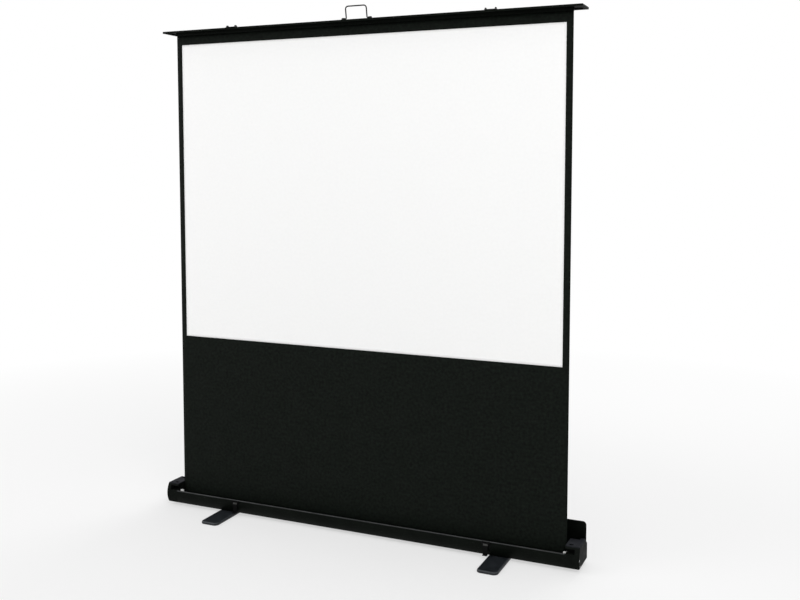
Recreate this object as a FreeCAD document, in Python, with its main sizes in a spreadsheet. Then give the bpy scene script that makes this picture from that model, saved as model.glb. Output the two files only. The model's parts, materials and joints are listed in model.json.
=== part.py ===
# Portable pull-up projection screen: a low case on two swivel feet, a spring roller inside it,
# a lid bar that carries the fabric up, and a two-stage scissor behind the fabric.
# Frame: origin on the floor under the middle of the case, +X right seen from the front,
# the front faces -Y, +Z up. Lengths in millimetres, angles in degrees.
import FreeCAD, Part
import math
import os
import re

import Sketcher
from FreeCAD import Placement, Rotation, Vector

SIZES = {
    # Fabric: the white viewing area and the black border round it
    "view_width": 1626,
    "view_height": 1219,
    "view_bottom": 732,
    "side_border": 25,
    "top_border": 46,
    "fabric_thickness": 0.5,
    "coat_thickness": 0.3,
    # Fits: moving faces, round pins in holes, flat rubbing faces, and how far a cut runs past its piece
    "running_gap": 0.3,
    "pin_gap": 0.05,
    "face_gap": 0.1,
    "overrun": 2,
    # Feet
    "foot_inset": 250,
    "foot_width": 80,
    "foot_length": 394,
    "foot_corner": 18,
    "foot_height": 10,
    "foot_edge": 6,
    "pad_height": 2,
    "pad_length": 62,
    "pad_inset": 9,
    "washer_height": 2,
    "washer_radius": 28,
    "bolt_radius": 5,
    "bolt_head_radius": 9,
    "bolt_head_height": 4,
    "bolt_recess_radius": 11,
    "nut_height": 5,
    # Case: trough, rear panel and end caps
    "edge_room": 4,
    "cap_block": 35,
    "cap_plate": 18,
    "case_depth": 128,
    "front_swell": 3,
    "front_radius": 72,
    "front_centre_height": 38,
    "front_wall": 2.5,
    "floor_wall": 3,
    "rim_height": 52,
    "rim_bead": 3,
    "panel_height": 136,
    "panel_wall": 3,
    "panel_corner": 14,
    "panel_inset": 5,
    "panel_bead": 2.5,
    "cap_height": 82,
    "cap_shoulder": 60,
    "cap_top_back": 34,
    "cap_edge": 5,
    "block_back": 18,
    "pocket_length": 16,
    "pocket_width": 13,
    "pocket_depth": 6,
    "pocket_front": 46,
    "window_sill": 1,
    "window_roof": 10,
    "window_depth": 38,
    "port_radius": 5,
    "port_front": 49,
    "port_rise": 9,
    "upper_port_front": 60,
    "upper_port_rise": 34,
    "screw_radius": 2,
    "screw_head_radius": 4,
    "screw_head_height": 2.5,
    "screw_length": 70,
    "button_radius": 6.5,
    "button_rim": 3,
    "button_height": 7,
    "button_front": 36,
    "button_rise": 46,
    # Roller
    "roller_back": 4,
    "roller_rise": 30,
    "roller_diameter": 38,
    "roller_wall": 1.5,
    "wrap_build": 1.5,
    "roller_end_gap": 0.5,
    "plug_flange": 2.5,
    "plug_length": 32,
    "spindle_radius": 4,
    "spindle_length": 330,
    "idler_length": 66,
    "spring_radius": 11,
    "spring_wire": 2.4,
    # Scissor
    "raised_angle": 58,
    "arm_width": 20,
    "arm_thickness": 4,
    "arm_spacing": 1,
    "arm_setback": 40,
    "groove_width": 7,
    "groove_depth": 0.8,
    "groove_margin": 34,
    "base_pivot_rise": 19,
    "pivot_radius": 4,
    "rivet_radius": 7,
    "rivet_height": 2.4,
    "collar_radius": 6,
    "lid_rest_gap": 0.5,
    "rail_height": 24,
    "rail_depth": 9,
    "rail_wall": 1.5,
    "rail_mouth": 9,
    "rail_spare": 5,
    "rail_cover": 12,
    "block_length": 18,
    "bracket_width": 30,
    "bracket_wall": 3,
    "bracket_front": 34,
    "top_bracket_front": 23.5,
    "top_flange": 15,
    # Lid bar
    "lid_setback": 16,
    "lid_front": 60,
    "lid_back": 32,
    "lid_height": 8,
    "lid_wall": 2.5,
    "lid_corner": 2,
    "lid_cap": 10,
    "lid_cap_edge": 1.5,
    "hem_width": 14,
    "hem_drop": 8,
    "hem_wall": 1.5,
    "hem_mouth": 4,
    "hem_rod_radius": 3,
    # Latches on the front wall and catches on the lid
    "latch_inset": 296,
    "latch_width": 32,
    "latch_ear": 5,
    "latch_ear_radius": 4,
    "latch_plate": 1.5,
    "latch_plate_height": 18,
    "latch_drop": 3,
    "latch_stand_off": 5,
    "latch_pin_radius": 2,
    "hook_width": 18,
    "hook_wall": 2,
    "hook_lip": 10,
    "knuckle_radius": 3.5,
    "knuckle_width": 4,
    "catch_width": 42,
    "catch_depth": 24,
    "catch_reach": 4,
    "catch_wall": 1.5,
    "catch_ear": 4,
    "catch_ear_height": 8,
    # Carrying handle on the lid
    "bail_half": 44,
    "bail_height": 48,
    "bail_wire": 5,
    "bail_corner": 11,
    "bail_foot_corner": 6,
    "bail_tail": 20,
    "bail_front": 24,
    "bail_rise": 6,
    "bail_lean": 10,
    "saddle_length": 12,
    "saddle_radius": 5.5,
}

PLACES = {
    # Heights and depths of the case
    "case_bottom": "pad_height + foot_height + washer_height",
    "floor_top": "case_bottom + floor_wall",
    "case_back": "case_depth / 2",
    "case_front": "-case_back - front_swell",
    "panel_front": "case_back - panel_wall",
    "panel_top": "case_bottom + panel_height",
    "front_centre": "case_front + front_radius",
    "front_middle": "case_bottom + front_centre_height",
    "rim_top": "case_bottom + rim_height",
    "cap_top": "case_bottom + cap_height",
    "cap_shoulder_top": "case_bottom + cap_shoulder",
    "port_height": "case_bottom + port_rise",
    "upper_port_height": "case_bottom + upper_port_rise",
    "button_height_above_floor": "case_bottom + button_rise",
    # Fabric and roller
    "fabric_half": "view_width / 2 + side_border",
    "roller_height": "case_bottom + roller_rise",
    "roller_radius": "roller_diameter / 2",
    "tube_bore": "roller_radius - roller_wall",
    "wrap_radius": "roller_radius + wrap_build",
    "fabric_back": "roller_back - wrap_radius - running_gap",
    "fabric_front": "fabric_back - fabric_thickness",
    "coat_front": "fabric_front - coat_thickness",
    "tube_half": "trough_half - roller_end_gap - plug_flange",
    # Lid bar, raised
    "lid_under": "view_bottom + view_height + top_border",
    "lid_top": "lid_under + lid_height",
    "lid_seat": "lid_top - lid_wall",
    "lid_half": "case_half - lid_setback",
    "channel_half": "lid_half - lid_cap",
    "hem_middle": "(fabric_back + fabric_front) / 2",
    "hem_bottom": "lid_under - hem_drop",
    "hem_rod_height": "hem_bottom + hem_wall + hem_rod_radius",
    "fabric_top": "hem_rod_height - hem_rod_radius - running_gap",
    # Scissor: layer one lies in front of layer two, and the pivots stand in two columns when raised,
    # moved to the left of the middle so that the rails end behind the fabric
    "base_pivot": "case_bottom + base_pivot_rise",
    "top_pivot": "lid_seat - rail_height / 2",
    "elbow_height": "(base_pivot + top_pivot) / 2",
    "lower_crossing": "(base_pivot + elbow_height) / 2",
    "upper_crossing": "(elbow_height + top_pivot) / 2",
    "arm_length": "(top_pivot - base_pivot) / (2 * sin(raised_angle))",
    "pivot_half": "arm_length * cos(raised_angle) / 2",
    "arm_radius": "arm_width / 2",
    "layer_one": "arm_setback",
    "layer_one_back": "layer_one + arm_thickness",
    "layer_two": "layer_one_back + arm_spacing",
    "layer_two_back": "layer_two + arm_thickness",
    "closed_top_pivot": "top_pivot - lid_under + cap_top + lid_rest_gap",
    "closed_rise": "(closed_top_pivot - base_pivot) / 2",
    "slide_reach": "sqrt(arm_length ^ 2 - closed_rise ^ 2) - pivot_half",
    "slide_room": "block_length / 2 + rail_spare",
    "scissor_shift": "max(0; slide_reach + slide_room + rail_cover - fabric_half)",
    "fixed_column": "-pivot_half - scissor_shift",
    "crossing_column": "-scissor_shift",
    "moving_column": "pivot_half - scissor_shift",
    "rail_end": "slide_reach - scissor_shift + slide_room",
    "rail_start": "moving_column - slide_room",
    "base_rail_front": "panel_front - rail_depth",
    "top_rail_back": "lid_back - lid_wall",
    # Lengths along X
    "trough_half": "fabric_half + edge_room",
    "cap_inner": "trough_half + cap_block",
    "case_half": "cap_inner + cap_plate",
    "panel_half": "case_half - panel_inset",
    "foot_half": "trough_half - foot_inset",
    # Latches
    "latch_half": "trough_half - latch_inset",
    "latch_plate_front": "case_front - latch_plate",
    "latch_plate_top": "rim_top - rim_bead - latch_plate",
    "latch_plate_bottom": "latch_plate_top - latch_plate_height",
    "latch_axis": "rim_top - latch_drop",
    "latch_axis_front": "case_front - latch_stand_off",
    "hook_reach": "cap_top + lid_rest_gap + lid_height + catch_wall + running_gap + hook_wall - latch_axis",
    "catch_front": "-lid_front - catch_reach",
    # Carrying handle
    "bail_axis": "lid_top + bail_rise",
    "wire_radius": "bail_wire / 2",
    "saddle_start": "bail_half + bail_foot_corner + running_gap",
}

doc = FreeCAD.newDocument("projection_screen")
sheet = doc.addObject("Spreadsheet::Sheet", "sizes")
for row, (name, size) in enumerate(SIZES.items(), start=1):
    sheet.set(f"A{row}", name)
    sheet.set(f"B{row}", str(size))
    sheet.setAlias(f"B{row}", name)
doc.recompute()

SIDES = {"left": -1, "right": 1}


def formula(text):
    """Write a formula of plain size and place names as one that reads the sheet's cells."""

    def reference(match):
        word = match.group()
        if word in PLACES:
            return f"({formula(PLACES[word])})"
        return f"sizes.{word}" if word in SIZES else word

    return re.sub(r"[a-z]\w*", reference, text)


def number(text):
    """Work out a formula at the sheet's present sizes."""
    return float(sheet.evalExpression(formula(text)))


def bind(item, path, text):
    """Tie one property of an object to the sheet."""
    item.setExpression(path, formula(text))


def place(item, x="0", y="0", z="0"):
    """Tie an object's position to the sheet."""
    for direction, text in zip("xyz", (x, y, z)):
        bind(item, f".Placement.Base.{direction}", text)


def lean(item, axis, angle):
    """Turn an object about an axis through its own origin by an angle that the sheet gives."""
    item.Placement = Placement(Vector(), Rotation(axis, number(angle)))
    bind(item, ".Placement.Rotation.Angle", angle)


def new_body(label):
    """Start a piece."""
    body = doc.addObject("PartDesign::Body", label)
    body.Label = label
    body.AllowCompound = True
    return body


def origin_feature(body, role):
    """Find one of a piece's own origin planes or axes."""
    return next(item for item in body.Origin.OriginFeatures if item.Role == role)


def sketch_on(body, plane, level="0"):
    """Add a sketch on the XY, XZ or YZ plane of a piece, moved along the third axis to a level."""
    sketch = body.newObject("Sketcher::SketchObject", "outline")
    sketch.AttachmentSupport = (origin_feature(body, f"{plane}_Plane"), "")
    sketch.MapMode = "FlatFace"
    direction = "-" if plane == "XZ" else ""
    bind(sketch, ".AttachmentOffset.Base.z", f"{direction}({level})")
    return sketch


def tie(sketch, constraint, text):
    """Add one dimension to a sketch and tie it to the sheet."""
    index = sketch.addConstraint(constraint)
    bind(sketch, f"Constraints[{index}]", text)


def draw_edge(sketch, start, end, bend):
    """Draw a straight edge, or an arc whose bend is its radius: positive turns left, negative right.

    Gives the two ends' positions in the order of travel.
    """
    if bend == 0:
        sketch.addGeometry(Part.LineSegment(start, end))
        return 1, 2
    chord = end - start
    away = math.sqrt(max(bend ** 2 - (chord.Length / 2) ** 2, 0))
    left = Vector(-chord.y, chord.x).normalize()
    centre = (start + end) * 0.5 + left * math.copysign(away, bend)
    first, last = (start, end) if bend > 0 else (end, start)
    angles = [math.atan2(point.y - centre.y, point.x - centre.x) for point in (first, last)]
    circle = Part.Circle(centre, Vector(0, 0, 1), abs(bend))
    sketch.addGeometry(Part.ArcOfCircle(circle, *angles))
    return (1, 2) if bend > 0 else (2, 1)


def draw(sketch, outline, closed=True):
    """Draw an outline of corners (x, y) or (x, y, bend of the edge that leaves the corner)."""
    corners = [Vector(number(corner[0]), number(corner[1])) for corner in outline]
    bends = [corner[2] if len(corner) > 2 else "0" for corner in outline]
    count = len(outline) if closed else len(outline) - 1
    first = sketch.GeometryCount
    ends = []
    for index in range(count):
        following = corners[(index + 1) % len(corners)]
        ends.append(draw_edge(sketch, corners[index], following, number(bends[index])))
    for index in range(count):
        edge = first + index
        straight = (closed or index > 0) and bends[index - 1] == "0"
        for axis, (kind, level) in enumerate((("DistanceX", "Vertical"), ("DistanceY", "Horizontal"))):
            text = outline[index][axis]
            if straight and text == outline[index - 1][axis]:
                sketch.addConstraint(Sketcher.Constraint(level, first + (index - 1) % count))
            else:
                tie(sketch, Sketcher.Constraint(kind, edge, ends[index][0], corners[index][axis]), text)
        if bends[index] != "0":
            radius = bends[index].lstrip("-")
            tie(sketch, Sketcher.Constraint("Radius", edge, number(radius)), radius)
        if closed or index + 1 < count:
            after = (index + 1) % count
            joint = (edge, ends[index][1], first + after, ends[after][0])
            sketch.addConstraint(Sketcher.Constraint("Coincident", *joint))
    if not closed:
        for kind, text, size in zip(("DistanceX", "DistanceY"), outline[-1], corners[-1]):
            tie(sketch, Sketcher.Constraint(kind, first + count - 1, ends[-1][1], size), text)


def draw_circle(sketch, x, y, radius):
    """Draw a circle whose middle and radius are tied to the sheet."""
    middle = Vector(number(x), number(y))
    edge = sketch.addGeometry(Part.Circle(middle, Vector(0, 0, 1), number(radius)))
    tie(sketch, Sketcher.Constraint("DistanceX", edge, 3, middle.x), x)
    tie(sketch, Sketcher.Constraint("DistanceY", edge, 3, middle.y), y)
    tie(sketch, Sketcher.Constraint("Radius", edge, number(radius)), radius)


def profile(body, plane, level, outlines, circles):
    """Make one sketch of closed outlines and circles."""
    sketch = sketch_on(body, plane, level)
    for outline in outlines:
        draw(sketch, outline)
    for circle in circles:
        draw_circle(sketch, *circle)
    return sketch


def pad(body, plane, level, length, *outlines, circles=()):
    """Extrude outlines from a level along the plane's third axis."""
    feature = body.newObject("PartDesign::Pad", "pad")
    feature.Profile = profile(body, plane, level, outlines, circles)
    feature.Reversed = plane == "XZ"
    bind(feature, "Length", length)
    body.Tip = feature
    return feature


def cut(body, plane, level, length, *outlines, circles=()):
    """Cut outlines out of a piece from a level along the plane's third axis."""
    feature = body.newObject("PartDesign::Pocket", "cut")
    feature.Profile = profile(body, plane, level, outlines, circles)
    feature.Reversed = plane != "XZ"
    bind(feature, "Length", length)
    body.Tip = feature
    return feature


def turn(body, axis, steps):
    """Revolve steps (radius at start, radius at end, start, end) about the X, Y or Z axis of a piece."""
    outline = [("0", steps[0][2])]
    for start_radius, end_radius, start, end in steps:
        outline += [(start_radius, start), (end_radius, end)]
    outline.append(("0", steps[-1][3]))
    outline = list(dict.fromkeys(outline))
    if axis == "X":
        outline = [(along, radius) for radius, along in outline]
    sketch = sketch_on(body, "XZ" if axis == "Z" else "XY")
    draw(sketch, outline)
    feature = body.newObject("PartDesign::Revolution", "turn")
    feature.Profile = sketch
    feature.ReferenceAxis = (origin_feature(body, f"{axis}_Axis"), [""])
    feature.Angle = 360
    body.Tip = feature
    return feature


def soften(body, radius, is_chosen):
    """Round the chosen edges of a piece."""
    doc.recompute()
    base = body.Tip
    names = [f"Edge{index}" for index, edge in enumerate(base.Shape.Edges, start=1) if is_chosen(edge)]
    feature = body.newObject("PartDesign::Fillet", "soft_edge")
    feature.Base = (base, names)
    bind(feature, "Radius", radius)
    body.Tip = feature
    return feature


def at_level(edge, axis, text):
    """Say whether an edge lies wholly at one level of the X, Y or Z axis."""
    level = number(text)
    tolerance = number("pin_gap")
    low, high = (getattr(edge.BoundBox, f"{axis}{end}") for end in ("Min", "Max"))
    return abs(low - level) < tolerance and abs(high - level) < tolerance


def span(side, near, far):
    """Give the lower X of a stretch that lies between two distances out from the middle on one side."""
    return near if side > 0 else f"-({far})"


def rectangle(x0, y0, x1, y1):
    """Give the corners of a plain rectangle."""
    return [(x0, y0), (x1, y0), (x1, y1), (x0, y1)]


def rounded_rectangle(x0, y0, x1, y1, radius):
    """Give the corners of a rectangle with round corners."""
    return [
        (f"{x0} + ({radius})", y0),
        (f"{x1} - ({radius})", y0, radius),
        (x1, f"{y0} + ({radius})"),
        (x1, f"{y1} - ({radius})", radius),
        (f"{x1} - ({radius})", y1),
        (f"{x0} + ({radius})", y1, radius),
        (x0, f"{y1} - ({radius})"),
        (x0, f"{y0} + ({radius})", radius),
    ]


def bar_outline(start, end, radius):
    """Give a flat bar's outline along X, with round ends about its two end points."""
    return [
        (start, f"-{radius}"),
        (end, f"-{radius}", radius),
        (f"{end} + {radius}", "0", radius),
        (end, radius),
        (start, radius, radius),
        (f"{start} - {radius}", "0", radius),
    ]


def front_at(height, radius="front_radius"):
    """Give the Y of the swelling front wall at a height."""
    return f"(front_centre - sqrt(({radius}) ^ 2 - (({height}) - front_middle) ^ 2))"


def channel_outline(front, back, middle, opens_back):
    """Give a lipped rail's outline in Y and Z, open along one side."""
    wall = "rail_wall"
    half = "rail_height / 2"
    closed_side, mouth_side = (front, back) if opens_back else (back, front)
    inward = "+" if opens_back else "-"
    outward = "-" if opens_back else "+"
    inner_web = f"{closed_side} {inward} {wall}"
    inner_lip = f"{mouth_side} {outward} {wall}"
    lower = [
        (mouth_side, f"{middle} - rail_mouth / 2"),
        (mouth_side, f"{middle} - {half}"),
        (closed_side, f"{middle} - {half}"),
    ]
    upper = [
        (closed_side, f"{middle} + {half}"),
        (mouth_side, f"{middle} + {half}"),
        (mouth_side, f"{middle} + rail_mouth / 2"),
    ]
    inside = [
        (inner_lip, f"{middle} + rail_mouth / 2"),
        (inner_lip, f"{middle} + {half} - {wall}"),
        (inner_web, f"{middle} + {half} - {wall}"),
        (inner_web, f"{middle} - {half} + {wall}"),
        (inner_lip, f"{middle} - {half} + {wall}"),
        (inner_lip, f"{middle} - rail_mouth / 2"),
    ]
    return lower + upper + inside


PORTS = [("-port_front", "port_height"), ("-upper_port_front", "upper_port_height")]


def rim_circle():
    """Round section of the rim bead, in the middle of the front wall's top edge."""
    inner = "front_radius - front_wall"
    return (f"({front_at('rim_top')} + {front_at('rim_top', inner)}) / 2", "rim_top", "rim_bead")


def make_trough():
    """Extruded trough: floor and swelling front wall with a rim bead and two screw ports."""
    body = new_body("base_trough")
    inner = "front_radius - front_wall"
    wall = [
        ("panel_front", "case_bottom"),
        ("panel_front", "floor_top"),
        (front_at("floor_top", inner), "floor_top", f"-({inner})"),
        (front_at("rim_top", inner), "rim_top"),
        (front_at("rim_top"), "rim_top", "front_radius"),
        (front_at("case_bottom"), "case_bottom"),
    ]
    pad(body, "YZ", "-trough_half", "2 * trough_half", wall)
    pad(body, "YZ", "-trough_half", "2 * trough_half", circles=[rim_circle()])
    ports = [(y, z, "port_radius") for y, z in PORTS]
    pad(body, "YZ", "-trough_half", "2 * trough_half", circles=ports)
    bores = [(y, z, "screw_radius") for y, z in PORTS]
    cut(body, "YZ", "-trough_half - overrun", "2 * (trough_half + overrun)", circles=bores)
    bolts = [(f"{side} * foot_half", "0", "bolt_radius") for side in SIDES.values()]
    cut(body, "XY", "case_bottom - overrun", "floor_wall + 2 * overrun", circles=bolts)


def make_rear_panel():
    """Tall rear panel that hides the folded scissor, with a round bead along its top edge."""
    body = new_body("rear_panel")
    outline = [
        ("-panel_half", "case_bottom"),
        ("panel_half", "case_bottom"),
        ("panel_half", "panel_top - panel_corner", "panel_corner"),
        ("panel_half - panel_corner", "panel_top"),
        ("-panel_half + panel_corner", "panel_top", "panel_corner"),
        ("-panel_half", "panel_top - panel_corner"),
    ]
    pad(body, "XZ", "panel_front", "panel_wall", outline)
    bead = ("panel_front + panel_wall - panel_bead", "panel_top - panel_bead", "panel_bead")
    pad(body, "YZ", "-panel_half + panel_corner", "2 * (panel_half - panel_corner)", circles=[bead])


def make_end_cap(name, side):
    """Moulded end cap: outer plate, and an inner block that carries the roller.

    The block has a pocket in its top and a window in its front, and the case's rim bead runs on as the
    window's sill.
    """
    body = new_body(f"end_cap_{name}")
    plate = [
        ("panel_front", "case_bottom"),
        ("panel_front", "cap_shoulder_top"),
        ("cap_top_back", "cap_top"),
        (front_at("cap_top"), "cap_top", "front_radius"),
        (front_at("case_bottom"), "case_bottom"),
    ]
    pad(body, "YZ", span(side, "cap_inner", "case_half"), "cap_plate", plate)
    outer_face = f"{side} * case_half"
    soften(body, "cap_edge", lambda edge: at_level(edge, "X", outer_face))
    block = [
        ("block_back", "case_bottom"),
        ("block_back", "cap_top"),
        (front_at("cap_top"), "cap_top", "front_radius"),
        (front_at("case_bottom"), "case_bottom"),
    ]
    pad(body, "YZ", span(side, "trough_half", "cap_inner"), "cap_block", block)
    through = span(side, "trough_half - overrun", "case_half + overrun")
    bores = [(y, z, "screw_radius") for y, z in PORTS]
    cut(body, "YZ", through, "cap_block + cap_plate + 2 * overrun", circles=bores)
    recesses = [(y, z, "screw_head_radius") for y, z in PORTS]
    sink = span(side, "case_half - screw_head_height", "case_half + overrun")
    cut(body, "YZ", sink, "screw_head_height + overrun", circles=recesses)
    seat = span(side, "trough_half - overrun", "cap_inner")
    cut(body, "YZ", seat, "cap_block + overrun", circles=[("roller_back", "roller_height", "spindle_radius")])
    middle = f"{side} * (trough_half + cap_block / 2)"
    pocket = rectangle(
        f"{middle} - pocket_length / 2",
        "-pocket_front",
        f"{middle} + pocket_length / 2",
        "-pocket_front + pocket_width",
    )
    cut(body, "XY", "cap_top - pocket_depth", "pocket_depth + overrun", pocket)
    window = rectangle(
        "case_front - overrun",
        "rim_top + window_sill",
        "case_front + window_depth",
        "cap_top - window_roof",
    )
    cut(body, "YZ", seat, "cap_block + overrun", window)
    pad(body, "YZ", span(side, "trough_half", "cap_inner"), "cap_block", circles=[rim_circle()])


def make_end_cap_screws():
    """Four screws through the end caps into the trough's ports, as one group."""
    screws = []
    for name, side in SIDES.items():
        for index, (y, z) in enumerate(PORTS):
            body = new_body(f"screw_{name}_{index}")
            turn(body, "X", [
                ("screw_head_radius", "screw_head_radius", "0", f"{-side} * screw_head_height"),
                ("screw_radius", "screw_radius", f"{-side} * screw_head_height", f"{-side} * screw_length"),
            ])
            place(body, f"{side} * case_half", y, z)
            screws.append(body)
    group = doc.addObject("Part::Compound", "end_cap_screws")
    group.Label = "end_cap_screws"
    group.Links = screws
    return screws


def make_guide_button(name, side):
    """White domed button that guides the fabric's edge into the trough."""
    body = new_body(f"guide_button_{name}")
    inward = -side
    turn(body, "X", [
        ("button_radius", "button_radius", "0", f"{inward} * button_rim"),
        ("button_radius", "button_radius / 2", f"{inward} * button_rim", f"{inward} * button_height"),
    ])
    place(body, f"{side} * trough_half", "-button_front", "button_height_above_floor")


def make_roller():
    """Roller tube, its two end plugs and the fabric left wound on it when the screen is up."""
    axis = ("roller_back", "roller_height")
    tube = new_body("roller_tube")
    pad(tube, "YZ", "-tube_half", "2 * tube_half", circles=[(*axis, "roller_radius"), (*axis, "tube_bore")])
    wraps = new_body("fabric_wraps")
    turns = [(*axis, "wrap_radius"), (*axis, "roller_radius")]
    pad(wraps, "YZ", "-fabric_half", "2 * fabric_half", circles=turns)
    bore = (*axis, "spindle_radius + pin_gap")
    for name, side in SIDES.items():
        plug = new_body(f"roller_plug_{name}")
        flange = span(side, "tube_half", "tube_half + plug_flange")
        pad(plug, "YZ", flange, "plug_flange", circles=[(*axis, "roller_radius"), bore])
        spigot = span(side, "tube_half - plug_length", "tube_half")
        pad(plug, "YZ", spigot, "plug_length", circles=[(*axis, "tube_bore"), bore])


def make_spindles():
    """Fixed spindles in the end caps: the long one anchors the torsion spring, the short one idles."""
    axis = ("roller_back", "roller_height")
    spindles = (("spring_spindle", -1, "spindle_length"), ("idler_spindle", 1, "idler_length"))
    for label, side, length in spindles:
        body = new_body(label)
        stretch = span(side, f"cap_inner - {length}", "cap_inner")
        pad(body, "YZ", stretch, length, circles=[(*axis, "spindle_radius")])
    spring = new_body("torsion_spring")
    ring = [(*axis, "spring_radius"), (*axis, "spring_radius - spring_wire")]
    start = "-tube_half + plug_length + running_gap"
    pad(spring, "YZ", start, f"spindle_length - cap_inner - ({start})", circles=ring)


ARMS = {
    # Where the arm's left end is, which way it slants, and the layer it lies in
    "lower_front_arm": ("base_pivot", 1, "layer_one"),
    "lower_rear_arm": ("elbow_height", -1, "layer_two"),
    "upper_front_arm": ("elbow_height", 1, "layer_one"),
    "upper_rear_arm": ("top_pivot", -1, "layer_two"),
}


def make_arm(label, left_end, slant, layer):
    """Flat scissor arm with three pivot holes and a pressed groove on its outer face."""
    body = new_body(label)
    hole = "pivot_radius + pin_gap"
    holes = [(x, "0", hole) for x in ("0", "arm_length / 2", "arm_length")]
    pad(body, "XZ", layer, "arm_thickness", bar_outline("0", "arm_length", "arm_radius"), circles=holes)
    grooves = [
        bar_outline("groove_margin", "arm_length / 2 - groove_margin", "groove_width / 2"),
        bar_outline("arm_length / 2 + groove_margin", "arm_length - groove_margin", "groove_width / 2"),
    ]
    outer = "layer_one - overrun" if layer == "layer_one" else "layer_two_back - groove_depth"
    cut(body, "XZ", outer, "groove_depth + overrun", *grooves)
    lean(body, Vector(0, -slant, 0), "raised_angle")
    place(body, "fixed_column", "0", left_end)


def make_rivet(label, x, z):
    """Shouldered rivet through both arm layers, with a collar that keeps them apart."""
    body = new_body(label)
    front = "layer_one - face_gap"
    back = "layer_two_back + face_gap"
    shank = "pivot_radius"
    collar = "collar_radius"
    turn(body, "Y", [
        ("rivet_radius / 2", "rivet_radius", f"{front} - rivet_height", f"{front} - rivet_height / 2"),
        ("rivet_radius", "rivet_radius", f"{front} - rivet_height / 2", front),
        (shank, shank, front, "layer_one_back + face_gap"),
        (collar, collar, "layer_one_back + face_gap", "layer_two - face_gap"),
        (shank, shank, "layer_two - face_gap", back),
        ("rivet_radius", "rivet_radius", back, f"{back} + rivet_height / 2"),
        ("rivet_radius", "rivet_radius / 2", f"{back} + rivet_height / 2", f"{back} + rivet_height"),
    ])
    place(body, x, "0", z)


def make_rivets():
    """The four rivets where two arms cross or meet."""
    make_rivet("lower_crossing_rivet", "crossing_column", "lower_crossing")
    make_rivet("upper_crossing_rivet", "crossing_column", "upper_crossing")
    make_rivet("right_elbow_rivet", "moving_column", "elbow_height")
    make_rivet("left_elbow_rivet", "fixed_column", "elbow_height")


def make_fixed_pivot(label, plate_front, arm_front, z):
    """Pin from a bracket's plate to an arm's fixed end, with a spacer between them."""
    body = new_body(label)
    plate_back = f"{plate_front} + bracket_wall"
    arm_back = f"{arm_front} + arm_thickness"
    turn(body, "Y", [
        ("rivet_radius", "rivet_radius", f"{plate_front} - rivet_height", plate_front),
        ("pivot_radius", "pivot_radius", plate_front, plate_back),
        ("collar_radius", "collar_radius", plate_back, f"{arm_front} - face_gap"),
        ("pivot_radius", "pivot_radius", f"{arm_front} - face_gap", f"{arm_back} + face_gap"),
        ("rivet_radius", "rivet_radius", f"{arm_back} + face_gap", f"{arm_back} + face_gap + rivet_height"),
    ])
    place(body, "fixed_column", "0", z)


def make_brackets():
    """Brackets of the two fixed pivots: one stands on the case floor, one hangs under the lid."""
    half = "bracket_width / 2"
    hole = "pivot_radius"
    base = new_body("base_bracket")
    plate = [
        (f"fixed_column - {half}", "floor_top"),
        (f"fixed_column + {half}", "floor_top"),
        (f"fixed_column + {half}", "base_pivot", half),
        ("fixed_column", f"base_pivot + {half}", half),
        (f"fixed_column - {half}", "base_pivot"),
    ]
    pad(base, "XZ", "bracket_front", "bracket_wall", plate, circles=[("fixed_column", "base_pivot", hole)])
    flange = rectangle(f"fixed_column - {half}", "bracket_front", f"fixed_column + {half}", "panel_front")
    pad(base, "XY", "floor_top", "bracket_wall", flange)
    top = new_body("top_bracket")
    hanger = [
        (f"fixed_column + {half}", "lid_seat"),
        (f"fixed_column - {half}", "lid_seat"),
        (f"fixed_column - {half}", "top_pivot"),
        (f"fixed_column - {half} / 2", f"top_pivot - {half}"),
        (f"fixed_column + {half} / 2", f"top_pivot - {half}"),
        (f"fixed_column + {half}", "top_pivot"),
    ]
    pad(top, "XZ", "top_bracket_front", "bracket_wall", hanger, circles=[("fixed_column", "top_pivot", hole)])
    flange_front = "top_bracket_front - top_flange"
    tab = rectangle(f"fixed_column - {half}", flange_front, f"fixed_column + {half}", "top_bracket_front")
    pad(top, "XY", "lid_seat - bracket_wall", "bracket_wall", tab)


def make_rails():
    """Lipped rails for the two sliding ends: one on the rear panel, one under the lid."""
    length = "rail_end - rail_start"
    base = new_body("base_rail")
    base_outline = channel_outline("base_rail_front", "panel_front", "base_pivot", False)
    pad(base, "YZ", "rail_start", length, base_outline)
    top = new_body("top_rail")
    top_front = "top_rail_back - rail_depth"
    pad(top, "YZ", "rail_start", length, channel_outline(top_front, "top_rail_back", "top_pivot", True))


def make_slider(label, rail_front, towards, arm_front, z):
    """Sliding block inside a rail, with the pin that carries an arm's end."""
    body = new_body(label)
    half_height = "(rail_height / 2 - rail_wall - running_gap)"
    half_length = "block_length / 2"
    block = rectangle(f"-{half_length}", f"-{half_height}", half_length, half_height)
    block_front = f"{rail_front} + rail_wall + running_gap"
    block_depth = "rail_depth - 2 * (rail_wall + running_gap)"
    pad(body, "XZ", block_front, block_depth, block)
    arm_back = f"{arm_front} + arm_thickness"
    if towards > 0:
        pin_start = f"{block_front} + {block_depth}"
        pin_end = f"{arm_back} + face_gap"
        head_start = pin_end
    else:
        pin_start = f"{arm_front} - face_gap"
        pin_end = block_front
        head_start = f"{pin_start} - rivet_height"
    pad(body, "XZ", pin_start, f"({pin_end}) - ({pin_start})", circles=[("0", "0", "pivot_radius")])
    pad(body, "XZ", head_start, "rivet_height", circles=[("0", "0", "rivet_radius")])
    place(body, "moving_column", "0", z)


def lid_outline():
    """Outer outline of the lid bar in Y and Z, with soft top corners."""
    return [
        ("-lid_front", "lid_under"),
        ("lid_back", "lid_under"),
        ("lid_back", "lid_top - lid_corner", "lid_corner"),
        ("lid_back - lid_corner", "lid_top"),
        ("-lid_front + lid_corner", "lid_top", "lid_corner"),
        ("-lid_front", "lid_top - lid_corner"),
    ]


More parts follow.
